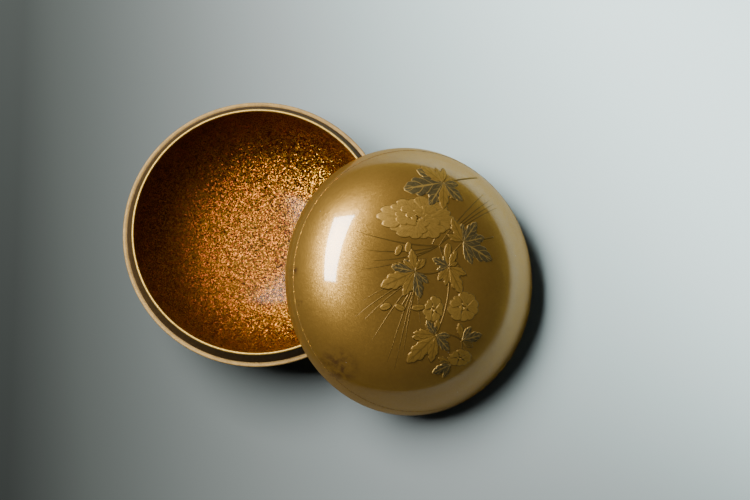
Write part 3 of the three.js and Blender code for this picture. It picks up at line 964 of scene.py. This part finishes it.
# %% Assign finishes
FINISHES = {"gold": gold_outside, "seat": seat, "flange": flange, "lip": lip, "flake": flake}
for finish in bowl_finishes:
    bowl.data.materials.append(FINISHES[finish])
for finish in lid_finishes:
    lid.data.materials.append(gold_lid if finish == "gold" else FINISHES[finish])
for piece, material in zip(relief, (petal_gold, leaf_gold, grey_green, stem_gold)):
    piece.data.materials.append(material)

for piece in (bowl, lid, *relief):
    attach(piece, "root")
    print(piece.name, "wears", [material.name for material in piece.data.materials])
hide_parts("box")
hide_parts("lid")

# %% [markdown]
# ## Floor
#
# The box stands on a plain floor whose colour carries painted light: the fall of light across it,
# dark grey on the left and pale blue-grey on the right, is painted into it. Its tone is a smooth
# S-shaped ramp, a logistic curve of the place on the floor. The ramp runs mostly from side to side
# and a little from front to back, and its tone stays the same past the limits given here. Places are
# in decimetres, so that the ramp's numbers stay near one.

# %% The ramp of painted light
FLOOR_SIZE = 6.0
DECIMETRES = 0.01
RAMP_MIDDLE = -1.88
RAMP_ACROSS = (2.21, -0.78, 0.60)
RAMP_BACK = (0.49, 0.59, 0.71)
SIDE_LIMITS = (-0.72, 1.5)
DEPTH_LIMITS = (-0.8, 0.8)
# These tones carry painted light, from black where the floor is least lit to pale blue-grey where it is most
# lit.
PAINTED_LIGHT_TONES = [(0.0, (0.0, 0.0, 0.0)), (0.03, (0.037, 0.042, 0.039)), (0.1, (0.093, 0.105, 0.101)),
               (0.2, (0.178, 0.205, 0.202)), (0.4, (0.33, 0.415, 0.41)), (1.0, (0.78, 1.0, 0.995))]


def held_between(tree, value, low, high):
    """A value kept between two limits."""
    return calc(tree, "MINIMUM", calc(tree, "MAXIMUM", value, low), high)


def bend(tree, value, first, second, third):
    """First, plus second times the value, plus third times its square."""
    return calc(tree, "MULTIPLY_ADD", calc(tree, "MULTIPLY_ADD", value, third, second), value, first)


# %% Floor
bpy.ops.mesh.primitive_plane_add(size=FLOOR_SIZE, location=(0, 0, 0))
floor = bpy.context.active_object
floor.name = "floor"
painted_light_floor, tree, shader, millimetres = new_finish("floor_with_painted_light")
decimetres = add(tree, "ShaderNodeVectorMath", {0: millimetres, "Scale": DECIMETRES}, operation="SCALE")
place = add(tree, "ShaderNodeSeparateXYZ", {0: decimetres.outputs[0]})
aside = held_between(tree, place.outputs[0], *SIDE_LIMITS)
backward = held_between(tree, place.outputs[1], *DEPTH_LIMITS)
level = calc(tree, "MULTIPLY_ADD", bend(tree, aside, *RAMP_ACROSS), aside, RAMP_MIDDLE)
level = calc(tree, "MULTIPLY_ADD", bend(tree, aside, *RAMP_BACK), backward, level)
falling = calc(tree, "EXPONENT", calc(tree, "MULTIPLY", level, -1.0))
light_pool_tone = calc(tree, "DIVIDE", 1.0, calc(tree, "ADD", 1.0, falling))
# The floor's colour is painted light: the ramp darkens it on the left and brightens it on the right.
tree.links.new(colour_stops(tree, light_pool_tone, PAINTED_LIGHT_TONES), shader.inputs["Base Color"])
shader.inputs["Roughness"].default_value = 0.9
shader.inputs["Specular IOR Level"].default_value = 0.0
floor.data.materials.append(painted_light_floor)

# %% [markdown]
# ## Light and camera
#
# The light is soft and comes from the left, a little behind. No single lamp gave both the place of
# the reflection on the lid and the way the shadows fall, so there are two kinds. The softbox is seen
# by glossy surfaces alone. It has a wide dim panel and a smaller, much stronger one in front, which
# makes the tall white reflection. The key light is seen by matt surfaces alone, and throws the soft
# shadows. The surroundings are dim, so that gold and lacquer keep their depth. The camera looks down
# steeply with a long lens, from the front.

# %% Light
def soft_panel(name, place, aim, roll, size, watts, glossy):
    """A rectangular light that is seen either by glossy or by matt surfaces."""
    facing = (Vector(place) - Vector(aim)).normalized()
    along = (Vector((0, 1, 0)) - facing * facing.y).normalized()
    across = along.cross(facing)
    along, across = (along * math.cos(roll) + across * math.sin(roll),
                     across * math.cos(roll) - along * math.sin(roll))
    data = bpy.data.lights.new(name, "AREA")
    data.shape = "RECTANGLE"
    data.size, data.size_y = size
    data.energy = watts
    panel = bpy.data.objects.new(name, data)
    panel.matrix_world = Matrix.Translation(place) @ Matrix((across, along, facing)).transposed().to_4x4()
    panel.visible_diffuse, panel.visible_glossy = not glossy, glossy
    bpy.context.scene.collection.objects.link(panel)
    print(name, "gives", watts, "W to", "glossy" if glossy else "matt", "surfaces")


SOFTBOX_AIM = (-0.001, -0.376, 0.015)
SOFTBOX_ROLL = math.radians(7.6)
SURROUNDINGS = (0.5, 0.52, 0.55, 1.0)
SURROUNDINGS_STRENGTH = 0.07

soft_panel("softbox", (-0.178, 0.098, 0.526), SOFTBOX_AIM, SOFTBOX_ROLL,
           size=(0.24, 0.54), watts=1.0, glossy=True)
soft_panel("softbox_middle", (-0.1745, 0.089, 0.516), SOFTBOX_AIM, SOFTBOX_ROLL,
           size=(0.178, 0.475), watts=12.5, glossy=True)
soft_panel("key_light", (-0.295, 0.155, 0.52), aim=(0.03, 0.0, 0.0), roll=0.0,
           size=(0.25, 0.46), watts=16.0, glossy=False)

world = bpy.data.worlds.new("dim_studio")
world.use_nodes = True
background = world.node_tree.nodes["Background"]
background.inputs["Color"].default_value = SURROUNDINGS
background.inputs["Strength"].default_value = SURROUNDINGS_STRENGTH
bpy.context.scene.world = world

# %% Camera
PICTURE_WIDTH = 750
FOCAL_PIXELS = 2000.0
SENSOR_WIDTH = 36.0
CAMERA_ELEVATION = math.radians(79.01)
CAMERA_DISTANCE = 0.5848
CAMERA_TARGET = Vector((0.03305, -0.00066, 0.0))

camera_data = bpy.data.cameras.new("camera")
camera_data.sensor_width = SENSOR_WIDTH
camera_data.lens = FOCAL_PIXELS / PICTURE_WIDTH * SENSOR_WIDTH
camera = bpy.data.objects.new("camera", camera_data)
back = Vector((0, -math.cos(CAMERA_ELEVATION), math.sin(CAMERA_ELEVATION)))
camera.location = CAMERA_TARGET + back * CAMERA_DISTANCE
camera.rotation_mode = "QUATERNION"
camera.rotation_quaternion = (-back).to_track_quat("-Z", "Y")
bpy.context.scene.collection.objects.link(camera)
bpy.context.scene.camera = camera
print("camera lens, mm:", round(camera_data.lens, 1))

# %% [markdown]
# ## Bring the scene up to date
#
# Last, the scene is brought up to date. The fine pieces must keep to the solid model's box.

# %% Bring the scene up to date
bpy.context.view_layer.update()
